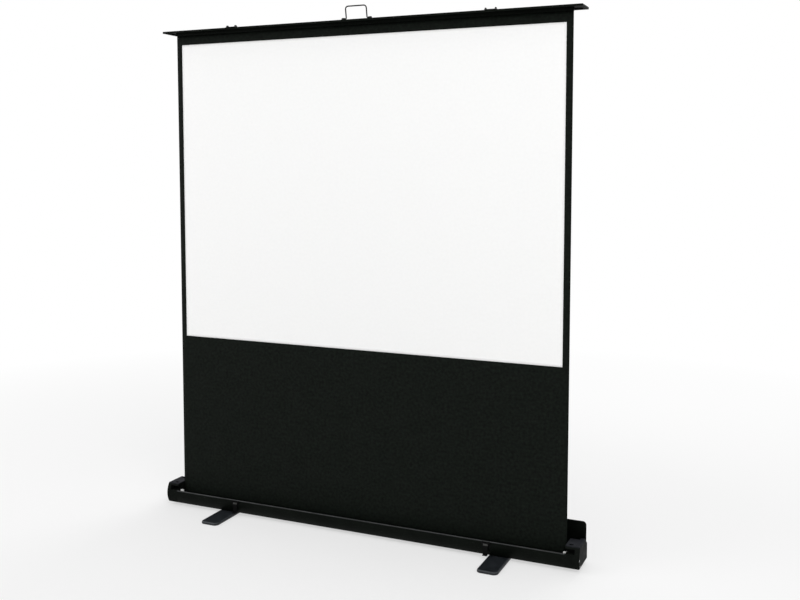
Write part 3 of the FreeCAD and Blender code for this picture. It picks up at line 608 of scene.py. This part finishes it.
SLOT_FINISHES = (
    BLACK_METAL, CAP_PLASTIC, FOOT_PLASTIC, RUBBER, WHITE_NYLON, GREY_NYLON, RAW_METAL, PLATED_STEEL,
    COATED_STEEL, BLACK_CLOTH, WHITE_COAT,
)
NODE_FINISHES = {
    "base_trough": TROUGH_METAL,
    "lid_bar": LID_METAL,
    "latch_pins": SHADED_LATCH_STEEL,
    **dict.fromkeys(("end_cap_left", "end_cap_right"), CASE_CAP),
    **dict.fromkeys(("latch_base_left", "latch_base_right"), SHADED_LATCH_STEEL),
    **dict.fromkeys(("latch_hook_left", "latch_hook_right"), GLINTING_HOOK_STEEL),
}


def put_in(name: str, data: bpy.types.ID) -> bpy.types.Object:
    """Put a new object into the scene.

    Args:
        name: the object's name.
        data: its mesh, lamp or camera.

    Returns:
        The object.
    """
    made = bpy.data.objects.new(name, data)
    bpy.context.scene.collection.objects.link(made)
    return made


def corners_of(node: str) -> tuple[np.ndarray, np.ndarray]:
    """Give the low and high corners of one of the frame's nodes."""
    low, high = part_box(node)
    return np.array(low), np.array(high)


def solidify(piece: bpy.types.Object, thickness: float) -> None:
    """Give an open sheet its thickness, half to each side.

    Args:
        piece: the sheet.
        thickness: its thickness in metres.
    """
    modifier = piece.modifiers.new("thickness", "SOLIDIFY")
    modifier.thickness = thickness
    modifier.offset = 0.0


class Workshop:
    """Makes materials once, puts meshes into the scene and dresses the frame's own nodes."""

    def __init__(self) -> None:
        """Build every finish's material."""
        finishes = dict.fromkeys((*SLOT_FINISHES, *NODE_FINISHES.values()))
        self.materials = {finish.name: finish.build() for finish in finishes}

    def dress_frame(self) -> None:
        """Give each of the frame's nodes its own finish or that of its slot."""
        finish_of_slot = {finish.slot.value: finish for finish in SLOT_FINISHES}
        for row in frame["record"]["subparts"]:
            finish = NODE_FINISHES.get(row["node"], finish_of_slot[row["material_slot"]])
            mesh = frame["nodes"][row["node"]].data
            mesh.materials.clear()
            mesh.materials.append(self.materials[finish.name])

    def piece(
        self, name: str, grids: Sequence[np.ndarray], finish: Finish, body: Body, around: bool = False
    ) -> bpy.types.Object:
        """Put one piece made of surfaces on grids into the scene.

        Args:
            name: the piece's name.
            grids: grids of points, each rows by columns by three, in metres.
            finish: what the piece is dressed in.
            body: the frame's body that it moves with.
            around: whether each grid's last column joins its first.

        Returns:
            The new piece, with a map in metres along each grid's first row and first column.
        """
        quads = []
        start = 0
        for grid in grids:
            rows, columns = grid.shape[:2]
            index = start + np.arange(rows * columns).reshape(rows, columns)
            index = np.concatenate([index, index[:, :1]], axis=1) if around else index
            corners = [index[:-1, :-1], index[:-1, 1:], index[1:, 1:], index[1:, :-1]]
            quads.append(np.stack(corners, axis=-1).reshape(-1, 4))
            start += rows * columns
        faces = np.concatenate(quads)
        mesh = bpy.data.meshes.new(name)
        mesh.from_pydata(np.concatenate([grid.reshape(-1, 3) for grid in grids]), [], faces)
        flat = np.concatenate([self.lay_out(grid) for grid in grids])
        mesh.uv_layers.new(name="flat").data.foreach_set("uv", flat[faces.reshape(-1)].reshape(-1))
        mesh.polygons.foreach_set("use_smooth", np.ones(len(faces), dtype=bool))
        mesh.materials.append(self.materials[finish.name])
        made = put_in(name, mesh)
        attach(made, body.value)
        return made

    @staticmethod
    def lay_out(grid: np.ndarray) -> np.ndarray:
        """Measure a grid along its first row and its first column.

        Args:
            grid: the grid of points.

        Returns:
            Each point's two lengths, in metres.
        """
        lengths = []
        for line in (grid[0], grid[:, 0]):
            steps = np.linalg.norm(np.diff(line, axis=0), axis=1)
            lengths.append(np.concatenate([[0.0], np.cumsum(steps)]))
        return np.stack(np.meshgrid(*lengths), axis=-1).reshape(-1, 2)


class Assembly(ABC):
    """A group of pieces that belong together."""

    @abstractmethod
    def build(self, shop: Workshop) -> list[bpy.types.Object]:
        """Make the group's pieces in the workshop."""


@dataclass
class ScreenCloth(Assembly):
    """The stretched black cloth and the white viewing coat on its face."""

    joint: str = "screen_lowering"
    columns: int = 121
    rows: int = 141
    cloth_thickness: float = 0.4 * MILLIMETRE
    coat_thickness: float = 0.15 * MILLIMETRE
    coat_clearance: float = 0.02 * MILLIMETRE
    lid_rest: float = 0.5 * MILLIMETRE
    ripple: float = 0.35 * MILLIMETRE
    wide_waves: float = 2.3
    wide_start: float = 1.1
    narrow_waves: float = 5.1
    narrow_lean: float = 3.0
    narrow_share: float = 0.15
    curl: float = 1.4 * MILLIMETRE
    curl_width: float = 16.0 * MILLIMETRE

    def __post_init__(self) -> None:
        """Read where the frame's own cloth lies."""
        self.low, self.high = corners_of("screen_fabric")

    def depth_at(self, x: np.ndarray, z: np.ndarray) -> np.ndarray:
        """Work out how far back the cloth lies.

        Two slow waves of slack cross the cloth, and within a curl width of each side edge it bends
        backwards as the square of the way to the edge. Both die out at the roller and at the lid.

        Args:
            x: places across the cloth.
            z: their heights.

        Returns:
            The cloth's Y at those places.
        """
        plane = (self.low[1] + self.high[1]) / 2
        half = (self.high[0] - self.low[0]) / 2
        height = (z - self.low[2]) / (self.high[2] - self.low[2])
        across = np.pi * x / half
        # The cloth's freedom to move is one halfway up and nothing at the roller and the lid.
        freedom = 4.0 * height * (1.0 - height)
        wide = np.sin(self.wide_waves * across + self.wide_start) * np.sin(np.pi * height) ** 2
        narrow = np.sin(self.narrow_waves * across + self.narrow_lean * height) * freedom
        slack = self.ripple * (wide + self.narrow_share * narrow)
        into_curl = np.clip((np.abs(x) - half + self.curl_width) / self.curl_width, 0.0, 1.0)
        return plane + slack + self.curl * into_curl ** 2 * freedom

    def spread(self, low: np.ndarray, high: np.ndarray, forward: float) -> np.ndarray:
        """Lay a grid of points on the cloth.

        Args:
            low: the grid's low corner.
            high: its high corner.
            forward: how far it lies in front of the cloth's middle.

        Returns:
            The points, rows by columns by three.
        """
        across = np.linspace(low[0], high[0], self.columns)
        x, z = np.meshgrid(across, np.linspace(low[2], high[2], self.rows))
        return np.stack([x, self.depth_at(x, z) - forward, z], axis=-1)

    def closed_share(self, top: np.ndarray) -> float:
        """Work out how much of a sheet's height above the roller is left when the lid is down.

        Args:
            top: the sheet's high corner, which comes down with the lid.

        Returns:
            The share of the height.
        """
        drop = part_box("lid_bar")[0].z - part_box("end_cap_left")[1].z - self.lid_rest
        height = float(top[2] - self.low[2])
        return (height - drop) / height

    def build(self, shop: Workshop) -> list[bpy.types.Object]:
        """Make both sheets and give each its thickness and a mesh of its own.

        Args:
            shop: the workshop.

        Returns:
            The cloth and the coat.
        """
        low, high = corners_of("viewing_surface")
        forward = (self.cloth_thickness + self.coat_thickness) / 2 + self.coat_clearance
        cloth = shop.piece("border_cloth", [self.spread(self.low, self.high, 0.0)], BLACK_CLOTH, Body.CASE)
        coat = shop.piece("viewing_coat", [self.spread(low, high, forward)], WHITE_COAT, Body.CASE)
        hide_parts("screen_fabric")
        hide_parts("viewing_surface")
        solidify(cloth, self.cloth_thickness)
        solidify(coat, self.coat_thickness)
        for piece, bottom, top in ((cloth, self.low, self.high), (coat, low, high)):
            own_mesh(piece)
        return [cloth, coat]


@dataclass
class FabricRoll(Assembly):
    """The last turns of cloth left on the roller when the screen is up."""

    turns: int = 3
    steps_per_turn: int = 48
    columns: int = 9
    thickness: float = 0.35 * MILLIMETRE

    def build(self, shop: Workshop) -> list[bpy.types.Object]:
        """Make a spiral sheet from the tube to the wraps' outside.

        Its radius grows evenly with the angle.

        Args:
            shop: the workshop.

        Returns:
            The roll.
        """
        low, high = corners_of("fabric_wraps")
        tube_low, tube_high = corners_of("roller_tube")
        middle = (low + high) / 2
        inner = (tube_high[2] - tube_low[2]) / 2 + self.thickness
        outer = (high[2] - low[2]) / 2 - self.thickness
        angle = np.linspace(0.0, math.tau * self.turns, self.turns * self.steps_per_turn + 1)[:, None]
        radius = np.linspace(inner, outer, len(angle))[:, None]
        x = np.linspace(low[0], high[0], self.columns)[None, :]
        y = middle[1] - radius * np.cos(angle)
        z = middle[2] + radius * np.sin(angle)
        grid = np.stack(np.broadcast_arrays(x, y, z), axis=-1)
        roll = shop.piece("fabric_roll", [grid], BLACK_CLOTH, Body.ROLLER)
        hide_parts("fabric_wraps")
        solidify(roll, self.thickness)
        return [roll]


@dataclass
class RollerSpring(Assembly):
    """The long torsion spring inside the roller tube."""

    wire: float = 2.4 * MILLIMETRE
    turns: int = 60
    steps_per_turn: int = 20
    sides: int = 10

    def build(self, shop: Workshop) -> list[bpy.types.Object]:
        """Carry a round section along a helix about the roller's axis.

        Args:
            shop: the workshop.

        Returns:
            The spring.
        """
        low, high = corners_of("torsion_spring")
        middle = (low + high) / 2
        thick = self.wire / 2
        angle = np.linspace(0.0, math.tau * self.turns, self.turns * self.steps_per_turn + 1)[:, None]
        around = np.linspace(0.0, math.tau, self.sides, endpoint=False)[None, :]
        reach = (high[2] - low[2]) / 2 - thick + thick * np.cos(around)
        x = np.linspace(low[0] + thick, high[0] - thick, len(angle))[:, None] + thick * np.sin(around)
        y = middle[1] + reach * np.cos(angle)
        z = middle[2] + reach * np.sin(angle)
        grid = np.stack([x, y, z], axis=-1)
        spring = shop.piece("wound_spring", [grid], PLATED_STEEL, Body.CASE, around=True)
        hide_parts("torsion_spring")
        return [spring]


@dataclass
class ScrewRecessShade(Assembly):
    """Painted shade: dark crossed bars standing in for the shaded cross recess of each end-cap screw, two
    screws at each end.
    """

    head_radius: float = 4.0 * MILLIMETRE
    arm_length: float = 4.8 * MILLIMETRE
    arm_width: float = 1.1 * MILLIMETRE
    thickness: float = 0.1 * MILLIMETRE

    def build(self, shop: Workshop) -> list[bpy.types.Object]:
        """Lay two crossed dark bars on each screw head, as painted shade for its recess.

        Args:
            shop: the workshop.

        Returns:
            The painted recess shade as one piece.
        """
        low, high = corners_of("end_cap_screws")
        lower = (high[1] - self.head_radius, low[2] + self.head_radius)
        upper = (low[1] + self.head_radius, high[2] - self.head_radius)
        half_length, half_width = self.arm_length / 2, self.arm_width / 2
        bars = []
        for x in (low[0], high[0]):
            for middle in (lower, upper):
                for reach in ((half_length, half_width), (half_width, half_length)):
                    edges = [(centre - half, centre + half) for centre, half in zip(middle, reach)]
                    y, z = np.meshgrid(*edges)
                    bars.append(np.stack([np.full_like(y, x), y, z], axis=-1))
        # The bars are painted shade for each screw's cross recess, dressed in the dark rubber finish.
        shade_bars = shop.piece("screw_recess_painted_shade", bars, RUBBER, Body.CASE)
        solidify(shade_bars, self.thickness)
        return [shade_bars]


@dataclass
class DomedHeads(Assembly):
    """A set of domes on one flat face."""

    name: str
    body: Body
    finish: Finish
    places: Sequence[Triple]
    facing: Triple
    radius: float = 3.2 * MILLIMETRE
    height: float = 1.3 * MILLIMETRE
    sink: float = 0.1 * MILLIMETRE
    rings: int = 6
    sides: int = 20

    def build(self, shop: Workshop) -> list[bpy.types.Object]:
        """Turn a quarter ellipse about each place's normal, with its rim just under the face.

        Args:
            shop: the workshop.

        Returns:
            The domes as one piece.
        """
        normal = np.array(self.facing)
        across = np.roll(normal, 1)
        beside = np.cross(normal, across)
        rise = np.linspace(0.0, math.pi / 2, self.rings)[:, None, None]
        around = np.linspace(0.0, math.tau, self.sides, endpoint=False)[None, :, None]
        ring = self.radius * np.cos(rise) * (np.cos(around) * across + np.sin(around) * beside)
        dome = ring + (self.height * np.sin(rise) - self.sink) * normal
        grids = [dome + np.array(place) for place in self.places]
        return [shop.piece(self.name, grids, self.finish, self.body, around=True)]


@dataclass
class RailRivets(Assembly):
    """The rivets that hold the lower rail to the rear panel, and the upper rail and bracket to the lid."""

    rail_count: int = 6
    bracket_count: int = 2
    inset: float = 20.0 * MILLIMETRE

    def build(self, shop: Workshop) -> list[bpy.types.Object]:
        """Set the heads out evenly along the middle of each rail and of the bracket.

        Args:
            shop: the workshop.

        Returns:
            The heads on the panel's back and those on the lid's top.
        """
        rail_low, rail_high = corners_of("base_rail")
        top_middle = sum(corners_of("top_rail")) / 2
        bracket_low, bracket_high = corners_of("top_bracket")
        panel_back = corners_of("rear_panel")[1][1]
        lid_top = corners_of("lid_bar")[1][2]
        along = np.linspace(rail_low[0] + self.inset, rail_high[0] - self.inset, self.rail_count)
        # The bracket's rivets share its length evenly, with none at its two ends.
        beside = np.linspace(bracket_low[0], bracket_high[0], self.bracket_count + 2)[1:-1]
        panel_places = [(x, panel_back, (rail_low[2] + rail_high[2]) / 2) for x in along]
        lid_places = [(x, top_middle[1], lid_top) for x in along]
        lid_places += [(x, (bracket_low[1] + bracket_high[1]) / 2, lid_top) for x in beside]
        panel = DomedHeads("panel_rivets", Body.CASE, COATED_STEEL, panel_places, (0.0, 1.0, 0.0))
        lid = DomedHeads("lid_rivets", Body.LID, COATED_STEEL, lid_places, (0.0, 0.0, 1.0))
        return panel.build(shop) + lid.build(shop)


@dataclass
class ButtonEnds(Assembly):
    """The rounded inner ends of the white guide buttons at both ends of the trough."""

    sides: tuple[tuple[str, float], ...] = (("left", 1.0), ("right", -1.0))

    def build(self, shop: Workshop) -> list[bpy.types.Object]:
        """Set half a ball on each button's inner face.

        Args:
            shop: the workshop.

        Returns:
            One end for each button.
        """
        ends = []
        for name, inward in self.sides:
            low, high = corners_of(f"guide_button_{name}")
            face = (low + high) / 2
            face[0] += inward * (high[0] - low[0]) / 2
            radius = (high[2] - low[2]) / 2
            facing = (inward, 0.0, 0.0)
            dome = DomedHeads(f"button_end_{name}", Body.CASE, WHITE_NYLON, [face], facing, radius, radius)
            ends += dome.build(shop)
        return ends


@dataclass(frozen=True)
class Lamp:
    """One soft square lamp, in metres and watts."""

    name: str
    place: Triple
    target: Triple
    size: float
    power: float

    def hang(self) -> None:
        """Hang the lamp so that it faces its target."""
        lamp = bpy.data.lights.new(self.name, "AREA")
        lamp.size = self.size
        lamp.energy = self.power
        # Unturned, a lamp shines straight down: it leans out towards Y and then turns to its target.
        direction = np.array(self.target) - np.array(self.place)
        lean = math.atan2(math.hypot(direction[0], direction[1]), -direction[2])
        holder = put_in(self.name, lamp)
        holder.location = self.place
        holder.rotation_euler = (lean, 0.0, math.atan2(direction[1], direction[0]) - math.pi / 2)


@dataclass
class Studio:
    """Pale floor, soft light and the camera that took the picture."""

    picture_width: int = 800
    focal_pixels: float = 972.7
    shift: float = -0.075
    eye: Triple = (1.672, -3.396, 1.448)
    turn: float = math.radians(23.86)
    tilt: float = math.radians(4.31)
    sensor: float = 36.0
    floor_size: float = 60.0
    floor_colour: Triple = (0.86, 0.86, 0.86)
    floor_roughness: float = 0.9
    floor_near: float = 1.6
    floor_far: float = 4.2
    floor_white: Spread = Spread(0.55, 1.0)
    sky: float = 0.66
    lamps: tuple[Lamp, ...] = (
        Lamp("key_lamp", (2.4, -3.0, 3.6), (0.0, 0.0, 0.7), size=2.4, power=58.0),
        Lamp("fill_lamp", (-3.2, -2.4, 2.6), (0.0, 0.0, 0.7), size=2.6, power=36.0),
        Lamp("back_lamp", (0.6, 3.2, 3.2), (0.0, 0.0, 1.0), size=2.4, power=50.0),
    )

    def place_camera(self) -> None:
        """Set the camera where the picture was taken, with its view downwards shared by shift and tilt."""
        camera = bpy.data.cameras.new("camera")
        camera.sensor_width = self.sensor
        camera.lens = self.sensor * self.focal_pixels / self.picture_width
        camera.shift_y = self.shift
        holder = put_in("camera", camera)
        holder.location = self.eye
        holder.rotation_euler = (math.pi / 2 - self.tilt, 0.0, self.turn)
        bpy.context.scene.camera = holder

    def lay_floor(self) -> None:
        """Lay a plain pale floor that keeps the object's shadow and fades to white away from it."""
        half = self.floor_size / 2
        corners = [(-half, -half, 0.0), (half, -half, 0.0), (half, half, 0.0), (-half, half, 0.0)]
        mesh = bpy.data.meshes.new("floor")
        mesh.from_pydata(corners, [], [(0, 1, 2, 3)])
        shader = Shader("pale_floor", self.floor_colour, self.floor_roughness, 0.0)
        length = shader.add("ShaderNodeVectorMath", {0: shader.position(Place.OBJECT)})
        length.operation = "LENGTH"
        way = length.outputs["Value"]
        fade = shader.ramp(way, self.floor_near, self.floor_far, self.floor_white.low, self.floor_white.high)
        white = shader.add("ShaderNodeEmission", {"Color": WHITE, "Strength": 1.0})
        mix = shader.add("ShaderNodeMixShader", {
            0: shader.combine("MULTIPLY", fade, shader.background_rays()),
            1: shader.shader.outputs["BSDF"],
            2: white.outputs["Emission"],
        })
        shader.fill(shader.nodes["Material Output"], {"Surface": mix.outputs["Shader"]})
        mesh.materials.append(shader.material)
        floor = put_in("floor", mesh)

    def light_world(self) -> None:
        """Light the scene evenly from the sky, and show white as the background."""
        world = bpy.data.worlds.new("studio")
        bpy.context.scene.world = world
        world.use_nodes = True
        tree = Tree(world.node_tree)
        strength = tree.ramp(tree.background_rays(), 0.0, 1.0, self.sky, 1.0)
        tree.fill(tree.nodes["Background"], {"Color": WHITE, "Strength": strength})

    def build(self) -> None:
        """Set the whole studio up."""
        self.place_camera()
        self.lay_floor()
        self.light_world()
        for lamp in self.lamps:
            lamp.hang()
        bpy.context.scene.view_settings.view_transform = "Standard"


def main() -> None:
    """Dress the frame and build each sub-assembly in order."""
    logging.basicConfig(level=logging.INFO)
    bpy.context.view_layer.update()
    shop = Workshop()
    shop.dress_frame()
    kinds = (ScreenCloth, FabricRoll, RollerSpring, ScrewRecessShade, RailRivets, ButtonEnds)
    for kind in kinds:
        for piece in kind().build(shop):
            LOG.info("%s: %d faces", piece.name, len(piece.data.polygons))
    Studio().build()


if __name__ == "__main__":
    main()
